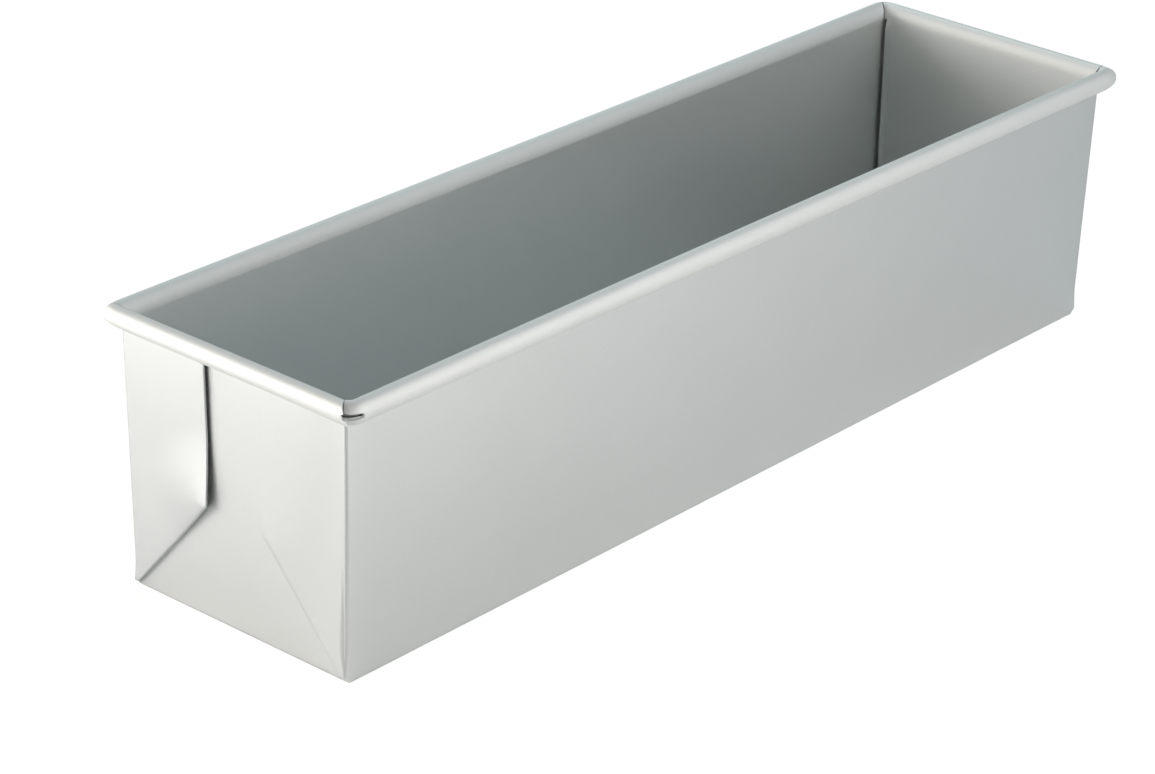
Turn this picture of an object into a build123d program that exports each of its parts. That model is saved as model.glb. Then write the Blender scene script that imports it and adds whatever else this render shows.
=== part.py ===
from build123d import *
import os
from math import acos, cos, degrees, radians, sin, tan

# A folded loaf pan with a rolled, wired rim. One sheet aluminium blank is folded into the base, two
# long sides, two ends and four corner gussets, which lie double on the outside of the ends. The top
# edge rolls outward over a round steel wire. Millimetres, +Z up, length along X, origin at the
# middle of the base's underside.

# Sheet and wire stock.
sheet = 0.8
wire_diameter = 4.76

# The pan. The mouth is measured inside the walls, just under the rim.
mouth_length = 406.4
mouth_width = 100.8
pan_height = 103.2
draft_angle = 1.0

# Bends and folds, all radii on the inside of the sheet.
base_bend = 0.8
corner_bend = 1.6
rim_corner_bend = 0.6
fold_gap = 0.1

# Corner gussets. The reach is the flap's width from the inside of the long side to its free edge.
gusset_fold_angle = 49.0
wide_flap_reach = 39.3
narrow_flap_reach = 36.1

# Rolled rim.
wire_clearance = 0.1
corner_cover_angle = 10.0
mitre_slit = 0.3
wire_butt_gap = 0.5

# How far a cutting tool runs past what it cuts.
overrun = 5.0

# Sizes that follow from the ones above.
lean = tan(radians(draft_angle))
bore_radius = wire_diameter / 2 + wire_clearance
rim_radius = bore_radius + sheet
rim_axis_z = pan_height - rim_radius
wall_top = rim_axis_z - bore_radius
fold_radius = sheet + fold_gap / 2
flap_stack = 3 * sheet + 2 * fold_gap
fold_slope = tan(radians(gusset_fold_angle))


def inner_x(z):
    """Inside face of an end wall at height z."""
    return mouth_length / 2 - lean * (wall_top - z)


def inner_y(z):
    """Inside face of a long side at height z."""
    return mouth_width / 2 - lean * (wall_top - z)


# Where a long side's sheet starts to bend round the corner, and where the end's sheet folds back.
bend_x = inner_x(0) + flap_stack - corner_bend - sheet
bend_y = inner_y(0) - corner_bend

# Lowest height of the diagonal fold, and the height up to which the corner is closed like a dish.
fold_rise = fold_radius / cos(radians(gusset_fold_angle))
dish_height = fold_rise + (corner_bend + sheet) * fold_slope + sheet

# The dish's upright corners start to turn where the corner bends do, and no sharper than a fold.
dish_corner = max(corner_bend - sheet - 2 * fold_gap, fold_gap)


def flat_bar(x0, x1, y0, y1):
    """Rectangle between two corners."""
    return Pos((x0 + x1) / 2, (y0 + y1) / 2) * Rectangle(x1 - x0, y1 - y0)


def arc_band(inner, outer, start, end):
    """Strip of bent sheet about the origin, from one angle to another."""
    def at(radius, angle):
        return (radius * cos(radians(angle)), radius * sin(radians(angle)))

    edges = [
        CenterArc((0, 0), outer, start, end - start),
        Line(at(outer, end), at(inner, end)),
        CenterArc((0, 0), inner, start, end - start),
        Line(at(inner, start), at(outer, start)),
    ]
    return make_face(edges)


def raise_wall(section, low, high):
    """Plan section of a wall at the base plane, raised between two heights along the leaning corner."""
    shift = lean * low
    face = (Pos(shift, shift, low) * section).face()
    rise = high - low
    return Solid.extrude(face, Vector(lean * rise, lean * rise, rise))


def half_round(origin, across, along, start_angle):
    """Round edge of sheet folded double: half a rod whose flat side lies square to the sheet."""
    radius = fold_radius * cos(radians(draft_angle))
    arc = CenterArc((0, 0), radius, start_angle, 180)
    section = Plane(origin=origin, x_dir=across, z_dir=along) * make_face([arc, Line(arc @ 1, arc @ 0)])
    start = section.face().moved(Location(along * -overrun))
    return Solid.extrude(start, along * (wall_top + 2 * overrun))


def gusset(reach):
    """The double flap outside an end wall: outer layer, inner layer and the folds that join them."""
    free_y = inner_y(0) - reach
    x0 = inner_x(0)
    outward = Vector(1, 0, -lean)
    corner_way = Vector(lean, lean, 1)
    fold_way = Vector(lean, -1 / fold_slope, 1)

    # The long side's sheet goes round the corner and becomes the outer layer.
    outer = Pos(bend_x, bend_y) * arc_band(corner_bend, corner_bend + sheet, 0, 90)
    outer += flat_bar(x0 + flap_stack - sheet, x0 + flap_stack, free_y, bend_y)
    # The end wall's sheet folds back on itself and becomes the inner layer.
    inner = flat_bar(x0 + sheet + fold_gap, x0 + 2 * sheet + fold_gap, free_y, bend_y)
    layers = raise_wall(outer, 0, wall_top) + raise_wall(inner, 0, wall_top)
    hairpin = half_round((x0 + fold_radius, bend_y, 0), (1, 0, 0), corner_way, 0)
    layers += hairpin & raise_wall(flat_bar(x0, x0 + flap_stack, bend_y, bend_y + overrun), 0, wall_top)

    # The diagonal fold joins the two layers, which lie above it, and ends at the free edge.
    fold_x = x0 + 2 * sheet + 1.5 * fold_gap
    fold_y = inner_y(0) + sheet + fold_rise / fold_slope
    cut = Plane(origin=(fold_x, fold_y, 0), x_dir=outward, z_dir=fold_way.cross(outward))
    layers = split(layers, bisect_by=cut, keep=Keep.TOP)
    diagonal = half_round(cut.origin, outward, fold_way, 180)
    keep = raise_wall(flat_bar(x0, x0 + flap_stack + overrun, free_y, bend_y), 0, wall_top)
    return layers + (diagonal & keep)


def closed_dish():
    """Base of the pan with its bends and closed corners, up to the foot of the flat walls."""
    outer = extrude(Rectangle(2 * (inner_x(0) + sheet), 2 * (inner_y(0) + sheet)),
                    amount=dish_height, taper=-draft_angle)
    outer = fillet(outer.faces().sort_by(Axis.Z)[0].edges(), base_bend + sheet)
    upright = outer.edges().filter_by(lambda edge: edge.bounding_box().size.Z > dish_height / 2)
    outer = fillet(upright, dish_corner)
    hollow = extrude(Pos(0, 0, sheet) * Rectangle(2 * inner_x(sheet), 2 * inner_y(sheet)),
                     amount=dish_height - sheet, taper=-draft_angle)
    hollow = fillet(hollow.faces().sort_by(Axis.Z)[0].edges(), base_bend)
    return outer - hollow


def lip_angle(stack):
    """Angle at which the rolled rim's edge meets what lies on a wall's outside."""
    return -degrees(acos((stack + fold_gap - rim_radius) / rim_radius))


def rim_section(end_angle):
    """Cross-section of the rolled rim about the wire, with the top of the wall it grows from."""
    roll = arc_band(bore_radius, rim_radius, end_angle, 180)
    leg = flat_bar(-rim_radius, -bore_radius, wall_top - rim_axis_z, 0)
    return roll + leg


def rim_run(x, y, across, along, profile, length):
    """Straight length of rolled rim, from a point on the wire's axis."""
    start = Plane(origin=(x, y, rim_axis_z), x_dir=across, z_dir=along)
    return extrude(start * profile, amount=length)


def rim_quarter():
    """Rolled rim of one quarter: half an end, a mitred corner and half a long side."""
    side_profile = rim_section(lip_angle(sheet))
    end_profile = rim_section(lip_angle(flap_stack))
    cover_profile = rim_section(corner_cover_angle)
    pivot_x = mouth_length / 2 - rim_corner_bend
    pivot_y = mouth_width / 2 - rim_corner_bend
    pivot = Vector(pivot_x, pivot_y, rim_axis_z)

    side = rim_run(0, mouth_width / 2 + rim_radius, (0, 1, 0), (1, 0, 0), side_profile, pivot_x)
    end = rim_run(mouth_length / 2 + rim_radius, pivot_y, (1, 0, 0), (0, -1, 0), end_profile, pivot_y)

    half_slit = degrees(mitre_slit / 2 / (rim_corner_bend + rim_radius))

    def corner(profile, angle):
        out = Vector(cos(radians(angle)), sin(radians(angle)), 0)
        plane = Plane(origin=pivot, x_dir=out, z_dir=out.cross(Vector(0, 0, 1)))
        placed = plane * Pos(rim_corner_bend + rim_radius, 0) * profile
        return revolve(placed, axis=Axis(pivot, (0, 0, 1)), revolution_arc=45 - half_slit)

    return side + end + corner(end_profile, 0) + corner(cover_profile, 45 + half_slit)


def pan_quarter(reach):
    """One quarter of the pan above the dish, with a gusset of the given reach."""
    x0, y0 = inner_x(0), inner_y(0)
    side = raise_wall(flat_bar(-overrun, bend_x, y0, y0 + sheet), dish_height, wall_top)
    side = split(side, bisect_by=Plane.YZ, keep=Keep.TOP)
    end = raise_wall(flat_bar(x0, x0 + sheet, -overrun, bend_y), dish_height, wall_top)
    end = split(end, bisect_by=Plane.XZ, keep=Keep.BOTTOM)
    return side + end + gusset(reach) + rim_quarter()


def pan_body():
    """The folded blank in one piece. The flaps at opposite corners are alike."""
    wide = mirror(pan_quarter(wide_flap_reach), about=Plane.YZ)
    narrow = pan_quarter(narrow_flap_reach)
    half = wide + narrow
    return half + half.rotate(Axis.Z, 180) + closed_dish()


def rim_wire():
    """Steel wire inside the rim: a closed ring whose two ends butt at the middle of a long side."""
    half_x = mouth_length / 2 + rim_radius
    half_y = mouth_width / 2 + rim_radius
    turn = rim_corner_bend + rim_radius
    route = Pos(0, 0, rim_axis_z) * RectangleRounded(2 * half_x, 2 * half_y, turn)
    path = route.wires()[0]
    start = Plane(origin=path @ 0, z_dir=path % 0)
    ring = sweep(start * Circle(wire_diameter / 2), path=path)
    cutter = Box(wire_butt_gap, wire_diameter + overrun, wire_diameter + overrun)
    return ring - Pos(0, half_y, rim_axis_z) * cutter


os.makedirs("parts", exist_ok=True)
export_step(pan_body(), "parts/pan_body.step")
export_step(rim_wire(), "parts/rim_wire.step")
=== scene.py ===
# %% [markdown]
# # A folded loaf pan with a wired rim
#
# The real pan is one sheet of aluminium, folded like a paper box. Its top edge is rolled outward over
# a steel wire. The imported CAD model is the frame: it fixes where everything is. This lesson dresses
# that frame with finer meshes, a metal finish, a floor, lamps and a camera.

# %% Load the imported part
from math import acos, cos, hypot, pi, radians, sin, tan

import bmesh
import bpy
from mathutils import Matrix, Vector


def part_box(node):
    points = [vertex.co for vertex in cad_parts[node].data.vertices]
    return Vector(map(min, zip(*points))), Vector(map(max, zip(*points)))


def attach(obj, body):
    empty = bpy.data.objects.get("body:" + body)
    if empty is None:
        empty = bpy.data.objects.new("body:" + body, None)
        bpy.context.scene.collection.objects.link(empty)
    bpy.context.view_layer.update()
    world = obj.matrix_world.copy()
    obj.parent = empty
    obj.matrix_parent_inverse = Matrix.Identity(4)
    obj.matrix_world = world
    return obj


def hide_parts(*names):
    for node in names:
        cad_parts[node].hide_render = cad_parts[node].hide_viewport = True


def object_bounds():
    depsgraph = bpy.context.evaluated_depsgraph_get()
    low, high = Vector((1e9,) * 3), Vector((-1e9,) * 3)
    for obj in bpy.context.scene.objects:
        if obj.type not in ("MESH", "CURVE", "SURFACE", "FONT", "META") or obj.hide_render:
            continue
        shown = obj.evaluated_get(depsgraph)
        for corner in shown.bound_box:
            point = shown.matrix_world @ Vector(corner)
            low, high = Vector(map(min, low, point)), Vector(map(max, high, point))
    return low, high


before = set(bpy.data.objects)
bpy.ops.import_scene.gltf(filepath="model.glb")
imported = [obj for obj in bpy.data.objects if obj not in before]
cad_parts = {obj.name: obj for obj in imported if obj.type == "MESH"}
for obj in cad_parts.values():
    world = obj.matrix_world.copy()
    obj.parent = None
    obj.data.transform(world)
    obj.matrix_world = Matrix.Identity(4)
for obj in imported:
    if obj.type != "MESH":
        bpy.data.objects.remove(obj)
cad_low, cad_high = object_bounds()
print("nodes:", sorted(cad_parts), "size in mm:", [round(s * 1000, 1) for s in cad_high - cad_low])

# %% [markdown]
# ## Sizes
#
# Places come from the frame, so the looks fit the CAD part without any adjusting. The wire's box
# gives the wire and the height of its axis, and the whole box gives the rim and the mouth. What the
# boxes can't tell, such as the sheet's thickness, is written here once.

# %% Read the main sizes from the frame
mm = 0.001
wire_low, wire_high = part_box("rim_wire")
wire_radius = (wire_high.z - wire_low.z) / 2
rim_z = (wire_high.z + wire_low.z) / 2
rim_radius = cad_high.z - rim_z
mouth_x = cad_high.x - 2 * rim_radius
mouth_y = cad_high.y - 2 * rim_radius

sheet = 0.8 * mm
hairline = 0.1 * mm
bore_radius = rim_radius - sheet
wall_top = rim_z - bore_radius
draft_angle = 1.0
fold_angle = 49.0
lean = tan(radians(draft_angle))
rim_turn = 0.6 * mm
flap_stack = 3 * sheet + 2 * hairline
fold_radius = sheet + hairline / 2
fold_slope = tan(radians(fold_angle))
side_bow = 0.5 * mm
print("rim radius", round(rim_radius / mm, 2), "mm, mouth", round(2 * mouth_x / mm, 1), "mm long")


def inner_x(z):
    """Inside face of an end wall at height z."""
    return mouth_x - lean * (wall_top - z)


def inner_y(z):
    """Inside face of a long side at height z."""
    return mouth_y - lean * (wall_top - z)


# %% [markdown]
# ## Small helpers
#
# Both Geometry Nodes and shaders are trees of nodes. The class Field wraps one socket, so that maths
# on it can be written as an ordinary expression, and Nodes adds any other node in one call.

# %% Write node maths as expressions
def maths(operation, turned=False):
    """An operator that adds one Math node."""
    def apply(self, other=0.0):
        pair = (other, self) if turned else (self, other)
        return self.nodes.add("ShaderNodeMath", {"operation": operation}, dict(enumerate(pair)))

    return apply


class Field:
    """A socket whose value can be used in sums."""

    def __init__(self, nodes, socket):
        self.nodes = nodes
        self.socket = socket

    __add__ = maths("ADD")
    __radd__ = maths("ADD", turned=True)
    __sub__ = maths("SUBTRACT")
    __rsub__ = maths("SUBTRACT", turned=True)
    __mul__ = maths("MULTIPLY")
    __rmul__ = maths("MULTIPLY", turned=True)
    __truediv__ = maths("DIVIDE")
    __rtruediv__ = maths("DIVIDE", turned=True)
    __mod__ = maths("MODULO")
    __lt__ = maths("LESS_THAN")
    __gt__ = maths("GREATER_THAN")
    least = maths("MINIMUM")
    most = maths("MAXIMUM")
    floor = maths("FLOOR")
    size = maths("ABSOLUTE")
    sign = maths("SIGN")
    sine = maths("SINE")
    cosine = maths("COSINE")


class Nodes:
    """Adds nodes to a tree, one call for each."""

    def __init__(self, tree):
        self.tree = tree

    def add(self, kind, settings=None, inputs=None, output=0):
        node = self.tree.nodes.new(kind)
        for name, value in (settings or {}).items():
            setattr(node, name, value)
        for key, value in (inputs or {}).items():
            if isinstance(value, Field):
                self.tree.links.new(value.socket, node.inputs[key])
            else:
                node.inputs[key].default_value = value
        return Field(self, node.outputs[output]) if node.outputs else node


# %% [markdown]
# ## The metal
#
# The sheet is aluminium with a fine satin finish. It has no brush marks: up close it shows a very
# fine sandy grain. An image could show that grain, but a noise has no seams and no end. Here a fine
# noise is the grain, which feeds a bump too, and a broad one clouds it a little. Both shift the colour
# and the roughness. The rim has a finish of its own. It is rougher than the walls, and its lighter colour
# is painted light, standing in for the light that falls on the top of the roll.

# %% Make the satin aluminium, the rim's finish and the wire's steel
object_output = 3
mix_factor = 0
mix_first_colour = 6
mix_second_colour = 7
mix_colour_output = 2
grain_detail = 3.0
cloud_detail = 2.0
cloud_scale = 28.0
grain_share = 0.75
bump_strength = 0.35
roughness_spread = 0.12


def new_material(name):
    material = bpy.data.materials.new(name)
    material.use_nodes = True
    material.node_tree.nodes.clear()
    return material, Nodes(material.node_tree)


def metal(name, dark, light, roughness, grain_size, grain_depth):
    """A metal finish with a fine grain, from the colours of its dark and light specks."""
    material, nodes = new_material(name)
    place = nodes.add("ShaderNodeTexCoord", output=object_output)
    grain = nodes.add("ShaderNodeTexNoise", None, {
        "Vector": place, "Scale": 1 / grain_size, "Detail": grain_detail})
    cloud = nodes.add("ShaderNodeTexNoise", None, {
        "Vector": place, "Scale": cloud_scale, "Detail": cloud_detail})
    tone = grain_share * grain + (1 - grain_share) * cloud
    colour = nodes.add("ShaderNodeMix", {"data_type": "RGBA"}, {
        mix_factor: tone, mix_first_colour: dark, mix_second_colour: light}, output=mix_colour_output)
    bump = nodes.add("ShaderNodeBump", None, {
        "Strength": bump_strength, "Distance": grain_depth, "Height": grain})
    shader = nodes.add("ShaderNodeBsdfPrincipled", None, {
        "Base Color": colour, "Metallic": 1.0, "Roughness": roughness + roughness_spread * (tone - 0.5),
        "Normal": bump})
    nodes.add("ShaderNodeOutputMaterial", None, {"Surface": shader})
    return material


dark_speck = (0.76, 0.785, 0.775, 1)
light_speck = (0.86, 0.875, 0.865, 1)
# The rim's specks are lighter than the walls' specks. This is painted light for the light on the top of
# the roll.
rim_dark_speck_painted_light = (0.83, 0.85, 0.835, 1)
rim_light_speck_painted_light = (0.93, 0.94, 0.925, 1)
wire_dark_speck = (0.3, 0.3, 0.31, 1)
wire_light_speck = (0.42, 0.42, 0.43, 1)
sheet_grain = 0.45 * mm
wire_grain = 0.6 * mm
aluminium = metal("satin_aluminium", dark_speck, light_speck, roughness=0.5, grain_size=sheet_grain,
                  grain_depth=0.03 * mm)
# The rim's metal is a rougher copy of the aluminium, with its colour painted lighter as painted light.
rolled_aluminium_painted_light = metal("rolled_aluminium_painted_light", rim_dark_speck_painted_light, rim_light_speck_painted_light, roughness=0.75,
                         grain_size=sheet_grain, grain_depth=0.05 * mm)
steel = metal("drawn_steel_wire", wire_dark_speck, wire_light_speck, roughness=0.35,
              grain_size=wire_grain, grain_depth=0.02 * mm)
print("finishes:", [finish.name for finish in (aluminium, rolled_aluminium_painted_light, steel)])

# %% [markdown]
# ## The folded sheet
#
# The base, walls and flaps are one sheet. A ring of points runs once round the pan at each height,
# and skins between the rings make the outside and the inside. A flap's free edge, the gap behind it
# and the fold at its foot are all points of the outside ring, so the metal stays in one piece.
#
# A box with a Bevel and a Solidify modifier would be quicker, but it has no layers at the corners.
# No two corners of this pan are alike, so each has its own reach, its own lift where the flap's foot
# stands off, and its own bend, which is drawn in a little toward the rim.

# %% Describe the four corners
def step(value, low, high):
    """Rises smoothly from 0 at low to 1 at high."""
    share = min(max((value - low) / (high - low), 0), 1)
    return share * share * (3 - 2 * share)


def spaced(start, end, count):
    """Evenly spaced values, both ends included."""
    return [start + (end - start) * i / (count - 1) for i in range(count)]


class Corner:
    """One corner: its flap's reach and lift, the bend's radius from foot to top, and how far the bend
    is pinched in near the top."""

    def __init__(self, reach, lift, bend_foot, bend_top, pinch=0.2 * mm):
        self.reach = reach
        self.lift = lift
        self.pinch = pinch
        self.bend_foot = bend_foot
        self.bend_top = bend_top

    def free_edge(self, z):
        return inner_y(0) - self.reach + lean * z

    def foot(self):
        """Height at which the diagonal fold meets the free edge."""
        slope = 1 / fold_slope
        return (fold_start - self.free_edge(0)) / (slope + lean)


fold_start = inner_y(0) + sheet
wide = 39.3 * mm
narrow = 36.1 * mm
corners = {
    (-1, 1): Corner(wide - 1.1 * mm, lift=1.8 * mm, bend_foot=2.6 * mm, bend_top=2.0 * mm),
    (-1, -1): Corner(narrow, lift=0.15 * mm, bend_foot=3.1 * mm, bend_top=0.9 * mm, pinch=1.1 * mm),
    (1, -1): Corner(wide, lift=0.5 * mm, bend_foot=2.6 * mm, bend_top=2.0 * mm),
    (1, 1): Corner(narrow, lift=0.2 * mm, bend_foot=2.8 * mm, bend_top=1.6 * mm),
}
print("flaps end", [round(c.foot() / mm, 1) for c in corners.values()], "mm above the base")

# %% [markdown]
# ## The outside of the sheet
#
# Seen from above, the outline runs along the bare end wall, in behind the flap, round the flap's edge,
# along its face and round the corner. Low down the layers close up to nothing, where the slanted fold
# starts from the corner of the base. Above the fold's end the flap has a raw, cut edge instead.

# %% Outline of the outside of the sheet at one height
base_bend = 0.8 * mm
base_point = 0.8 * mm
point_end = 12 * mm
sharp_turn = 0.02 * mm

fold_foot = 0.9 * mm
fold_full = 3.0 * mm
fold_undercut = 1.1 * mm
fold_steps = 8
fold_squareness = 0.4
undercut_room = 6 * mm
depth_room = 2 * mm
least_flap = 0.3 * mm

setback = 5.0 * mm
setback_shares = (0.6, 0.2)
raw_rise = 1 * mm
raw_round = 0.1 * mm
raw_share = 0.1
gap_share = 0.9

lift_reach = 26 * mm
lift_fall = 1.5
roll_off = 0.08 * mm
roll_off_width = 0.8 * mm
pinch_reach = 22 * mm
pinch_foot = 10 * mm
pinch_full = 70 * mm

end_points = 10
gap_points = 7
flap_points = 14
turn_steps = 12
side_points = 24


def bowed(x, y, z):
    """A long side sags inward a little between its corners, most at the rim."""
    return y - side_bow * (z / wall_top) * (1 - (x / mouth_x) ** 2)


def folded_edge(undercut):
    """A fold's section at a flap's foot: how far in from the flap's face, and how far from its edge."""
    points = []
    half = fold_steps / 2
    for i in range(fold_steps + 1):
        angle = pi * i / fold_steps
        across, beyond = -cos(angle), sin(angle)
        if i > half:
            across, beyond = across ** fold_squareness, beyond ** fold_squareness
        w = fold_radius * (1 - beyond) + undercut * max(1 - i / half, 0)
        points.append((fold_radius * (across - 1), w))
    return points


def cut_edge(inner_set):
    """The same for the raw edge higher up, where the inner layer ends further back."""
    points = [(-2 * fold_radius, inner_set), (-sheet, inner_set)]
    points += [(-sheet, inner_set * share) for share in setback_shares]
    points += [(-sheet, raw_round), (-(1 - raw_share) * sheet, 0), (-raw_share * sheet, 0)]
    points += [(0, raw_round), (0, 2 * hairline)]
    return points


def outside(corner, z, inset):
    """Points of a quarter of the outside, from the middle of the end to the middle of the long side.
    On the way, u is a point's distance out from the end's inside face, and w its distance in from the
    flap's free edge."""
    x0 = inner_x(z)
    y0 = inner_y(z)
    grown = step(z, fold_foot, fold_full)
    stack = sheet + (flap_stack - sheet) * grown
    bend = corner.bend_foot + (corner.bend_top - corner.bend_foot) * step(z, 0, wall_top)
    bend = base_point + (bend - base_point) * step(z, base_bend, point_end)
    bend_y = y0 + sheet - bend
    foot = corner.foot()
    edge = min(max(corner.free_edge(z), fold_start - z / fold_slope), bend_y - least_flap)

    pinch = corner.pinch * step(z, pinch_foot, pinch_full)

    def face(y):
        """How far the flap's face stands out from the inside of the end wall."""
        away = hypot(y - corner.free_edge(foot), z - foot) / lift_reach
        lift = corner.lift * max(1 - away, 0) ** lift_fall
        lift -= roll_off * step(edge - y, -roll_off_width, 0)
        return stack + grown * lift - pinch * step(y, bend_y - pinch_reach, bend_y)

    double = 2 * fold_radius * grown
    back = edge + gap_share * grown * (bend_y - edge)
    points = [(sheet, y) for y in spaced(0, edge, end_points)]
    points += [(sheet, y) for y in spaced(edge, back, gap_points)[1:]]
    inner_edge = edge + min(setback, (z - foot) / 2) if z > foot else edge
    raw = step(z, foot, foot + raw_rise)
    room = bend_y - edge
    undercut = fold_undercut * min(room / undercut_room, 1)
    depth = grown * min(room / depth_room, 1)
    behind = sheet + hairline * grown
    edge_points = []
    for (fold_u, fold_w), (cut_u, cut_w) in zip(folded_edge(undercut), cut_edge(inner_edge - edge)):
        u = (fold_u + (cut_u - fold_u) * raw) * grown
        w = (fold_w + (cut_w - fold_w) * raw) * depth
        edge_points.append((max(face(edge + w) + u, behind), edge + w))
    gap_end = edge_points[0][1]
    face_start = edge_points[-1][1]
    points += [(max(face(y) - double, behind), y) for y in spaced(back, gap_end, gap_points)[:-1]]
    points += edge_points
    points += [(face(y), y) for y in spaced(face_start, bend_y, flap_points)[1:-1]]
    plan = [(x0 + u - inset, y) for u, y in points]
    # In the base bend the turn is drawn in with the outline, down to a sharp corner.
    turn = max(bend - inset, sharp_turn)
    turn_x = x0 + face(bend_y) - inset - turn
    turn_y = y0 + sheet - inset - turn
    for i in range(turn_steps + 1):
        angle = pi / 2 * i / turn_steps
        plan.append((turn_x + turn * cos(angle), turn_y + turn * sin(angle)))
    plan += [(x, turn_y + turn) for x in spaced(turn_x, 0, side_points)[1:]]
    return [(x, bowed(x, y, z) if x < turn_x else y) for x, y in plan]


print(len(outside(corners[1, 1], wall_top, 0.0)), "points to a quarter of the outside")

# %% [markdown]
# ## The inside of the sheet
#
# Inside, the end's sheet folds back on itself before it meets the long side, which leaves a dark
# crevice up each corner. Next to it the sheet swells a little, because a fold in metal isn't pressed
# quite flat. Near the base the crevice closes into a plain rounded corner, like a dish.

# %% Outline of the inside of the sheet at one height
hairpin = 2 * sheet
hairpin_steps = 10
crevice_depth = 2.4 * sheet
crevice_width = 1.2 * mm
crevice_foot = 3 * mm
crevice_full = 7 * mm
swell = 0.9 * mm
swell_width = 3.2 * mm
swell_fade = 4 * mm
swell_shares = (0.25, 0.5, 0.75, 0.9)
fold_back = 0.5 * mm
fold_back_round = 0.3 * mm
fold_back_angles = (20, 45, 70, 90)


def inside(corner, z, inset):
    """Points of a quarter of the inside. Above the dished foot, a crevice runs up the corner."""
    x0 = inner_x(z) - inset
    y0 = inner_y(z) - inset
    turn_y = y0 - crevice_width - swell_width
    opened = step(z, crevice_foot, crevice_full)
    swollen = swell * opened * (1 - step(z, wall_top - swell_fade, wall_top))
    edge_y = y0 - crevice_width
    crevice = [(x0, turn_y)]
    for share in swell_shares:
        crevice.append((x0 - swollen * step(share, 0, 1), turn_y + swell_width * share))
    for angle in fold_back_angles:
        across, beyond = 1 - cos(radians(angle)), sin(radians(angle))
        crevice.append((x0 - swollen + fold_back * across, edge_y - fold_back_round * (1 - beyond)))
    crevice += [(x0 + crevice_depth, edge_y), (x0 + crevice_depth, y0), (x0, y0)]
    closed = [(x0, turn_y)]
    for i in range(hairpin_steps + 1):
        angle = pi / 2 * i / hairpin_steps
        closed.append((x0 - hairpin * (1 - cos(angle)), y0 - hairpin * (1 - sin(angle))))
    plan = [(x0, y) for y in spaced(0, turn_y, end_points)[:-1]]
    for (x_shut, y_shut), (x_open, y_open) in zip(closed, crevice):
        plan.append((x_shut + (x_open - x_shut) * opened, y_shut + (y_open - y_shut) * opened))
    plan += [(x, y0) for x in spaced(plan[-1][0], 0, side_points)[1:]]
    return [(x, bowed(x, y, z)) for x, y in plan]


print(len(inside(corners[1, 1], wall_top, 0.0)), "points to a quarter of the inside")

# %% [markdown]
# ## One closed skin
#
# The outlines are stacked as rings from the base up, and faces join each ring to the next. Rings lie
# closer together where the slanted folds end. Flat triangles close the base, on both faces of its
# sheet, and the narrow band between outside and inside at the top, which the rim covers.

# %% Stack the outlines as rings
flap_zone = 9 * mm
flap_zone_levels = 16
wall_level_count = 46
foot_step = 0.35 * mm
foot_steps = range(-3, 6)
least_step = 0.1 * mm
merge_distance = 0.002 * mm
same_height = 0.01 * mm
outer_bend_levels = 6
inner_bend_levels = 5


def ring(outline, z, inset=0.0):
    """A whole ring at one height, anticlockwise seen from above."""
    points = []
    for x_side, y_side, turned in ((1, 1, False), (-1, 1, True), (-1, -1, False), (1, -1, True)):
        quarter = outline(corners[x_side, y_side], z, inset)
        quarter = quarter[::-1] if turned else quarter
        points += [(x * x_side, y * y_side, z) for x, y in quarter[:-1]]
    return points


def bend_levels(radius, count):
    """Height above the underside of a bend, and inset from the wall, round a quarter turn."""
    for i in range(count):
        angle = pi / 2 * i / count
        yield radius * (1 - cos(angle)), radius * (1 - sin(angle))


def wall_levels(start):
    """Heights of the rings up a wall, close together where the flaps' feet lie."""
    levels = {start, wall_top}
    for z in spaced(start, flap_zone, flap_zone_levels) + spaced(flap_zone, wall_top, wall_level_count):
        levels.add(z)
    for corner in corners.values():
        for i in foot_steps:
            levels.add(corner.foot() + i * foot_step)
    kept = []
    for z in sorted(levels):
        if not kept or z - kept[-1] > least_step:
            kept.append(z)
    kept[-1] = wall_top
    return kept


def skin(bm, rings):
    """Quads between rings that have the same number of points."""
    rows = [[bm.verts.new(point) for point in points] for points in rings]
    for lower, upper in zip(rows, rows[1:]):
        for i in range(len(lower)):
            j = (i + 1) % len(lower)
            bm.faces.new((lower[i], lower[j], upper[j], upper[i]))


print(len(wall_levels(base_bend + sheet)), "rings up a wall")


# %% Join the rings into a closed skin
def lies_open_at(edge, z):
    """Whether an edge is open and level at this height."""
    return edge.is_boundary and all(abs(v.co.z - z) < same_height for v in edge.verts)


def finish_mesh(bm, name, material, corner_angle=35):
    """Merges doubles, points the faces outward and makes the piece's object."""
    bmesh.ops.remove_doubles(bm, verts=bm.verts[:], dist=merge_distance)
    bmesh.ops.dissolve_degenerate(bm, edges=bm.edges[:], dist=merge_distance)
    bmesh.ops.recalc_face_normals(bm, faces=bm.faces[:])
    open_edges = [edge for edge in bm.edges if len(edge.link_faces) != 2]
    mesh = bpy.data.meshes.new(name)
    bm.to_mesh(mesh)
    bm.free()
    mesh.polygons.foreach_set("use_smooth", [True] * len(mesh.polygons))
    mesh.set_sharp_from_angle(angle=radians(corner_angle))
    mesh.materials.append(material)
    piece = bpy.data.objects.new(name, mesh)
    bpy.context.collection.objects.link(piece)
    print(name, len(mesh.polygons), "faces,", len(open_edges), "open edges")
    return piece


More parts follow.
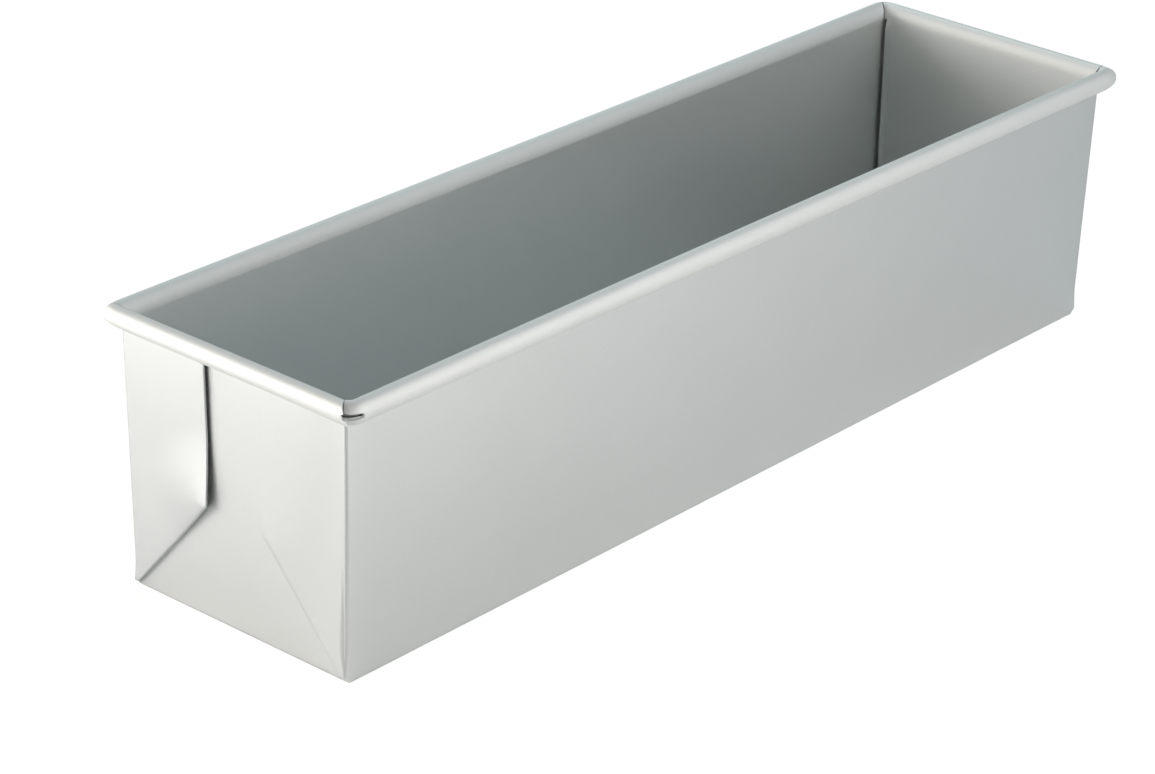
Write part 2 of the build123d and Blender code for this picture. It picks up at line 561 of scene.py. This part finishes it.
outer_bend = base_bend + sheet
bm = bmesh.new()
outer_rings = [ring(outside, z, inset) for z, inset in bend_levels(outer_bend, outer_bend_levels)]
outer_rings += [ring(outside, z) for z in wall_levels(outer_bend)]
skin(bm, outer_rings)
inner_rings = [ring(inside, sheet + z, inset) for z, inset in bend_levels(base_bend, inner_bend_levels)]
inner_rings += [ring(inside, z) for z in wall_levels(outer_bend)]
skin(bm, inner_rings)
bmesh.ops.remove_doubles(bm, verts=bm.verts[:], dist=merge_distance)
for flat_z in (0.0, sheet, wall_top):
    open_edges = [edge for edge in bm.edges if lies_open_at(edge, flat_z)]
    bmesh.ops.triangle_fill(bm, edges=open_edges, use_beauty=True, use_dissolve=False)
pan_shell = finish_mesh(bm, "pan_shell", aluminium)
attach(pan_shell, "root")
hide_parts("pan_body")

# %% [markdown]
# ## The rolled rim
#
# The rim is one profile, a band of sheet rolled over the wire, that follows each side of the mouth
# and turns the corner. That is a rule, so Geometry Nodes make it: a grid's points are counted along
# the run and round the profile, and Set Position bends the grid into the roll. A bevelled curve would
# be simpler, but it can't be cut open at a corner.
#
# The roll hangs a little lower than a round one, so it is stretched downward. At each corner two runs
# meet in a mitre or leave a slit, and at the near corner a slot stays open under the mitre.

# %% Build the node tree of a rim run
straight_steps = 60
corner_steps = 20
cut_share = 0.08
notch_middle = radians(-3)
notch_half = radians(16)
notch_steepness = 3
profile_steps = 66
leg_steps = 3
halfway = 0.5
weld_distance = 0.001 * mm


def rim_tree():
    tree = bpy.data.node_groups.new("rolled_rim", "GeometryNodeTree")
    tree.interface.new_socket("Geometry", in_out="OUTPUT", socket_type="NodeSocketGeometry")
    names = ("Half Length", "Distance", "Axis Height", "Bore", "Sheet", "Turn Radius", "Leg", "Lip Angle",
             "Bow", "Heading", "Tall Inner", "Tall Outer")
    paired = ("Mitre", "Square", "Slant", "Slack", "Slit", "Cover Angle", "Cut Start", "Notch")
    names += tuple(f"{name} {end}" for name in paired for end in ("Plus", "Minus"))
    for name in names:
        tree.interface.new_socket(name, in_out="INPUT", socket_type="NodeSocketFloat")
    tree.interface.new_socket("Material", in_out="INPUT", socket_type="NodeSocketMaterial")
    nodes = Nodes(tree)
    group = tree.nodes.new("NodeGroupInput")
    size = {name: Field(nodes, group.outputs[name]) for name in names}

    around = 2 * profile_steps
    side_steps = straight_steps // 2 + corner_steps
    columns = 2 * (side_steps + 1) + 1
    grid = nodes.add("GeometryNodeMeshGrid", None, {"Vertices X": columns, "Vertices Y": around + 1})
    index = nodes.add("GeometryNodeInputIndex")
    column = (index / (around + 1)).floor()
    row = (index - column * (around + 1)) % around

    # Along the run: straight, then round the corner, then a last column that closes the end.
    from_middle = column - (side_steps + 1)
    way = from_middle.sign()
    count = from_middle.size()
    straight = (count / (straight_steps / 2)).least(1.0)
    turned = ((count - straight_steps / 2) / corner_steps).most(0.0).least(1.0)
    plus = way > 0.0
    here = {}
    for name in paired:
        here[name] = size[f"{name} Minus"] + plus * (size[f"{name} Plus"] - size[f"{name} Minus"])
    closing = count > side_steps + halfway

    # Round the profile: up the leg, over the wire to the lip, and back on the inner side.
    outer = row < profile_steps - halfway
    along = (2 * profile_steps - 1) - row + outer * (2 * row - (2 * profile_steps - 1))
    climb = (1 - along / leg_steps).most(0.0)
    roll = ((along - leg_steps) / (profile_steps - 1 - leg_steps)).most(0.0)
    opened = ((turned - here["Cut Start"]) / cut_share).most(0.0).least(1.0)
    lip = size["Lip Angle"] + opened * (here["Cover Angle"] - size["Lip Angle"])
    theta = (pi - roll * (pi - size["Lip Angle"])).most(lip)
    thickness = outer + closing * (halfway - outer)
    radius = size["Bore"] + size["Sheet"] * thickness
    out = radius * theta.cosine()
    inner_tall = 1 + thickness * (size["Tall Inner"] - 1)
    tall = size["Tall Outer"] + (theta > pi / 2) * (inner_tall - size["Tall Outer"])
    up = radius * (1 - tall * (1 - theta.sine()))
    up = up - climb * (size["Leg"] + up)
    up = up + up.least(0.0) * (1 - climb.sign()) * here["Slack"] * straight * straight
    notch = (1 - ((theta - notch_middle) / notch_half).size()).most(0.0)
    from_pivot = size["Turn Radius"] + size["Bore"] + size["Sheet"] + out
    cut_back = here["Slit"] / from_pivot + here["Notch"] * (notch * notch_steepness).least(1.0)
    angle = turned * (here["Mitre"] + here["Slant"] * (1 - theta.sine()) - cut_back)
    reach = from_pivot * (1 + here["Square"] * (1 / angle.cosine().most(angle.sine()) - 1))
    x = way * (size["Half Length"] * straight + reach * angle.sine())
    y = size["Distance"] + reach * angle.cosine() - size["Bow"] * (1 - straight * straight)
    turn_cos = size["Heading"].cosine()
    turn_sin = size["Heading"].sine()
    place = nodes.add("ShaderNodeCombineXYZ", None, {
        "X": x * turn_cos - y * turn_sin, "Y": x * turn_sin + y * turn_cos, "Z": size["Axis Height"] + up})
    bent = nodes.add("GeometryNodeSetPosition", None, {"Geometry": grid, "Position": place})
    merged = nodes.add("GeometryNodeMergeByDistance", None, {"Geometry": bent, "Distance": weld_distance})
    real = nodes.add("GeometryNodeRealizeInstances", None, {"Geometry": merged})
    finished = nodes.add("GeometryNodeSetMaterial", None, {
        "Geometry": real, "Material": Field(nodes, group.outputs["Material"])})
    nodes.add("NodeGroupOutput", None, {"Geometry": finished})
    return tree


rolled_rim = rim_tree()
print("rolled_rim has", len(rolled_rim.nodes), "nodes")


# %% Turn what a tree makes into a plain mesh
def grown_mesh(name, tree, values):
    """The plain mesh that a node tree makes with these input values."""
    seed = bpy.data.objects.new(name, bpy.data.meshes.new(name))
    bpy.context.collection.objects.link(seed)
    modifier = seed.modifiers.new("nodes", "NODES")
    modifier.node_group = tree
    for item in tree.interface.items_tree:
        if item.in_out == "INPUT" and item.name in values:
            modifier[item.identifier] = values[item.name]
    bpy.context.view_layer.update()
    made = seed.evaluated_get(bpy.context.evaluated_depsgraph_get())
    mesh = bpy.data.meshes.new_from_object(made)
    bpy.data.objects.remove(seed)
    bm = bmesh.new()
    bm.from_mesh(mesh)
    return bm


# %% [markdown]
# ## The four runs of the rim
#
# Two runs follow the long sides and two the ends. One tree makes them all, because only its inputs
# differ. The roll's edge lies on one layer of sheet along a side and on three along an end, so its
# angle is worked out for each. No two corners are cut alike, so each end of a run has its own mitre.

# %% Roll the four runs
def lip_angle(stack):
    """Angle at which the roll's edge meets what lies on the wall's outside."""
    return -acos((stack + hairline - rim_radius) / rim_radius)


shared = {"Axis Height": rim_z, "Bore": bore_radius, "Sheet": sheet, "Turn Radius": rim_turn,
          "Leg": rim_z - wall_top, "Material": rolled_aluminium_painted_light}
tall_inner = 1.6
tall_side = 1.27
tall_end = 1.12
side_size = {"Half Length": mouth_x - rim_turn, "Distance": mouth_y - rim_turn,
             "Lip Angle": lip_angle(sheet), "Bow": side_bow, "Tall Inner": tall_inner,
             "Tall Outer": tall_side}
end_size = {"Half Length": mouth_y - rim_turn, "Distance": mouth_x - rim_turn,
            "Lip Angle": lip_angle(flap_stack), "Bow": 0.0, "Tall Inner": tall_inner,
            "Tall Outer": tall_end}


def at_end(end, mitre, square=0.0, slant=0.0, slack=0.0, slit=0.0, cover=10.0, cut_start=0.1, notch=0.0):
    """Inputs for one end of a run, with angles in degrees."""
    values = {"Mitre": radians(mitre), "Square": square, "Slant": radians(slant), "Slack": slack,
              "Slit": slit, "Cover Angle": radians(cover), "Cut Start": cut_start, "Notch": radians(notch)}
    return {f"{name} {end}": value for name, value in values.items()}


narrow_slit = 0.12 * mm
open_slit = 0.3 * mm
whole = -100.0
runs = {
    "rim_side_far": (
        side_size, 0.0,
        at_end("Plus", mitre=33.0, slit=open_slit),
        at_end("Minus", mitre=45.0, square=0.5, slit=narrow_slit)),
    "rim_side_near": (
        side_size, pi,
        at_end("Plus", mitre=62.0, slant=-8.0, cover=whole, notch=52.0),
        at_end("Minus", mitre=72.0, square=0.6, slit=open_slit, cover=whole)),
    "rim_end_far": (
        end_size, -pi / 2,
        at_end("Plus", mitre=15.0, square=0.6, slit=open_slit, cover=whole),
        at_end("Minus", mitre=57.0, slit=open_slit, cover=whole)),
    "rim_end_near": (
        end_size, pi / 2,
        at_end("Plus", mitre=45.0, square=0.5, slit=narrow_slit, cover=whole),
        at_end("Minus", mitre=25.0, square=1.0, slant=9.0, slack=0.15, cover=whole, notch=8.0)),
}
for name, (size, heading, plus, minus) in runs.items():
    values = {**shared, **size, "Heading": heading, **plus, **minus}
    run = finish_mesh(grown_mesh(name, rolled_rim, values), name, rolled_aluminium_painted_light)
    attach(run, "root")
    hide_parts("pan_body")

# %% [markdown]
# ## The wire in the rim
#
# A steel wire runs round inside the roll. It shows only where the roll is cut open at the corners. A
# rounded rectangle for its path and a circle for its section are all that Curve to Mesh needs.

# %% Bend the wire
wire_sides = 20
corner_points = 10
path_step = 2 * mm


def wire_tree():
    tree = bpy.data.node_groups.new("rim_wire_ring", "GeometryNodeTree")
    tree.interface.new_socket("Geometry", in_out="OUTPUT", socket_type="NodeSocketGeometry")
    names = ("Length", "Width", "Corner", "Radius", "Height", "Bow")
    for name in names:
        tree.interface.new_socket(name, in_out="INPUT", socket_type="NodeSocketFloat")
    tree.interface.new_socket("Material", in_out="INPUT", socket_type="NodeSocketMaterial")
    nodes = Nodes(tree)
    group = tree.nodes.new("NodeGroupInput")
    size = {name: Field(nodes, group.outputs[name]) for name in names}
    frame_path = nodes.add("GeometryNodeCurvePrimitiveQuadrilateral", None, {
        "Width": size["Length"], "Height": size["Width"]})
    rounded = nodes.add("GeometryNodeFilletCurve", {"mode": "POLY"}, {
        "Curve": frame_path, "Count": corner_points, "Radius": size["Corner"]})
    path = nodes.add("GeometryNodeResampleCurve", {"mode": "LENGTH"}, {
        "Curve": rounded, "Length": path_step})
    here = nodes.add("GeometryNodeInputPosition")
    split = nodes.add("ShaderNodeSeparateXYZ", None, {"Vector": here})
    x = split
    y = Field(nodes, split.socket.node.outputs["Y"])
    share = x / (size["Length"] / 2)
    bow = size["Bow"] * (1 - share * share).most(0.0) * (y / (size["Width"] / 2))
    place = nodes.add("ShaderNodeCombineXYZ", None, {"X": x, "Y": y - bow, "Z": size["Height"]})
    set_path = nodes.add("GeometryNodeSetPosition", None, {"Geometry": path, "Position": place})
    section = nodes.add("GeometryNodeCurvePrimitiveCircle", None, {
        "Resolution": wire_sides, "Radius": size["Radius"]})
    tube = nodes.add("GeometryNodeCurveToMesh", None, {"Curve": set_path, "Profile Curve": section})
    real = nodes.add("GeometryNodeRealizeInstances", None, {"Geometry": tube})
    finished = nodes.add("GeometryNodeSetMaterial", None, {
        "Geometry": real, "Material": Field(nodes, group.outputs["Material"])})
    nodes.add("NodeGroupOutput", None, {"Geometry": finished})
    return tree


wire_values = {
    "Length": 2 * (mouth_x + rim_radius), "Width": 2 * (mouth_y + rim_radius),
    "Corner": rim_turn + rim_radius, "Radius": wire_radius, "Height": rim_z, "Bow": side_bow,
    "Material": steel}
wire_ring = finish_mesh(grown_mesh("wire_ring", wire_tree(), wire_values), "wire_ring", steel)
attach(wire_ring, "root")
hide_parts("rim_wire")

# %% [markdown]
# ## Floor and background
#
# The photograph was taken on white. Stronger lamps would whiten the floor, but they would bleach the
# pan too. So the floor is pale, and Light Path adds a white glow that the camera sees in full and the
# metal only faintly. The floor stays even and keeps its soft shadow.

# %% Lay the floor and set the world
floor_half = 6.0
floor_colour = (0.8, 0.8, 0.8, 1)
white = (1, 1, 1, 1)
floor_glow = 0.62
floor_in_metal = 0.1
sky_level = 0.02


def seen_by(nodes, camera_level, metal_level):
    """A strength that is one value for the camera and another for reflections."""
    path = nodes.add("ShaderNodeLightPath")
    rays = path.socket.node.outputs
    camera = Field(nodes, rays["Is Camera Ray"])
    reflected = Field(nodes, rays["Is Glossy Ray"]).most(Field(nodes, rays["Is Transmission Ray"]))
    return (camera_level * camera).most(metal_level * reflected)


def stage_floor():
    material, nodes = new_material("white_floor")
    matt = nodes.add("ShaderNodeBsdfDiffuse", None, {"Color": floor_colour})
    glow = nodes.add("ShaderNodeEmission", None, {
        "Color": white, "Strength": seen_by(nodes, floor_glow, floor_in_metal)})
    both = nodes.add("ShaderNodeAddShader", None, {0: matt, 1: glow})
    nodes.add("ShaderNodeOutputMaterial", None, {"Surface": both})
    bm = bmesh.new()
    bmesh.ops.create_grid(bm, x_segments=1, y_segments=1, size=floor_half)
    mesh = bpy.data.meshes.new("floor")
    bm.to_mesh(mesh)
    bm.free()
    mesh.materials.append(material)
    floor = bpy.data.objects.new("floor", mesh)
    bpy.context.collection.objects.link(floor)


stage_floor()
world = bpy.data.worlds.new("studio")
bpy.context.scene.world = world
world.use_nodes = True
world.node_tree.nodes.clear()
sky = Nodes(world.node_tree)
backdrop = sky.add("ShaderNodeBackground", None, {
    "Color": white, "Strength": sky_level + seen_by(sky, 1 - sky_level, 0.0)})
sky.add("ShaderNodeOutputWorld", None, {"Surface": backdrop})
print("floor", 2 * floor_half, "m wide, world", world.name)

# %% [markdown]
# ## The lamps
#
# Satin metal shows soft, broad reflections, so every lamp is an area lamp. Two low ones on the left
# light the near end, which is the brightest face. One higher up on the right and a small low one light
# the long side. Two behind the pan light the inside and the top of the rim. Their powers were fitted
# together, so that each wall is about as bright as in the photograph.

# %% Hang the lamps
def soft_box(name, azimuth, elevation, distance, width, height, power, tint):
    """An area lamp that looks at the pan's middle: degrees, then metres, then watts and colour."""
    data = bpy.data.lights.new(name, "AREA")
    data.shape = "RECTANGLE"
    data.size = width
    data.size_y = height
    data.energy = power
    data.color = tint
    a = radians(azimuth)
    e = radians(elevation)
    lamp = bpy.data.objects.new(name, data)
    lamp.location = Vector((sin(a) * cos(e), -cos(a) * cos(e), sin(e))) * distance
    lamp.rotation_euler = (Vector((0, 0, rim_z / 2)) - lamp.location).to_track_quat("-Z", "Y").to_euler()
    bpy.context.collection.objects.link(lamp)


soft_box("left_low", -135, 10, 1.3, 0.8, 0.8, 10.8, (1.0, 0.945, 0.93))
soft_box("left_box", -112, 10, 1.3, 0.8, 0.8, 7.8, (1.0, 0.965, 0.91))
soft_box("front_high", 25, 35, 1.3, 0.8, 0.8, 5.8, (0.92, 0.965, 1.0))
soft_box("front_low", -6, 12, 0.6, 0.3, 0.3, 1.2, (1.0, 0.93, 0.88))
soft_box("over_far_end", 135, 59, 0.82, 0.35, 0.35, 1.2, (0.8, 0.95, 1.0))
soft_box("broad_back", 140, 48, 1.5, 2.2, 1.3, 3.0, (0.95, 1.0, 0.98))
lamps = [thing for thing in bpy.data.objects if thing.type == "LIGHT"]
print(len(lamps), "lamps,", round(sum(lamp.data.energy for lamp in lamps), 1), "W in all")

# %% [markdown]
# ## The camera
#
# The photograph was measured: the pan's long straight edges give the viewing direction, the focal
# length and the small roll of the camera.

# %% Stand the camera where the photograph was taken
photo_width = 1155
sensor_width = 36
azimuth = radians(-49.309)
elevation = radians(25.247)
roll = radians(1.5)
focal_pixels = 3844.76
camera_place = Vector((-969.264, -802.121, 613.488)) * mm

back = Vector((sin(azimuth) * cos(elevation), -cos(azimuth) * cos(elevation), sin(elevation)))
right = Vector((0, 0, 1)).cross(back).normalized()
up = back.cross(right)
right, up = cos(roll) * right + sin(roll) * up, cos(roll) * up - sin(roll) * right
data = bpy.data.cameras.new("camera")
data.sensor_width = sensor_width
data.lens = focal_pixels * data.sensor_width / photo_width
camera = bpy.data.objects.new("camera", data)
camera.matrix_world = Matrix.Translation(camera_place) @ Matrix((right, up, back)).transposed().to_4x4()
bpy.context.collection.objects.link(camera)
bpy.context.scene.camera = camera
bpy.context.scene.view_settings.view_transform = "Standard"
print("camera lens", round(data.lens, 1), "mm")
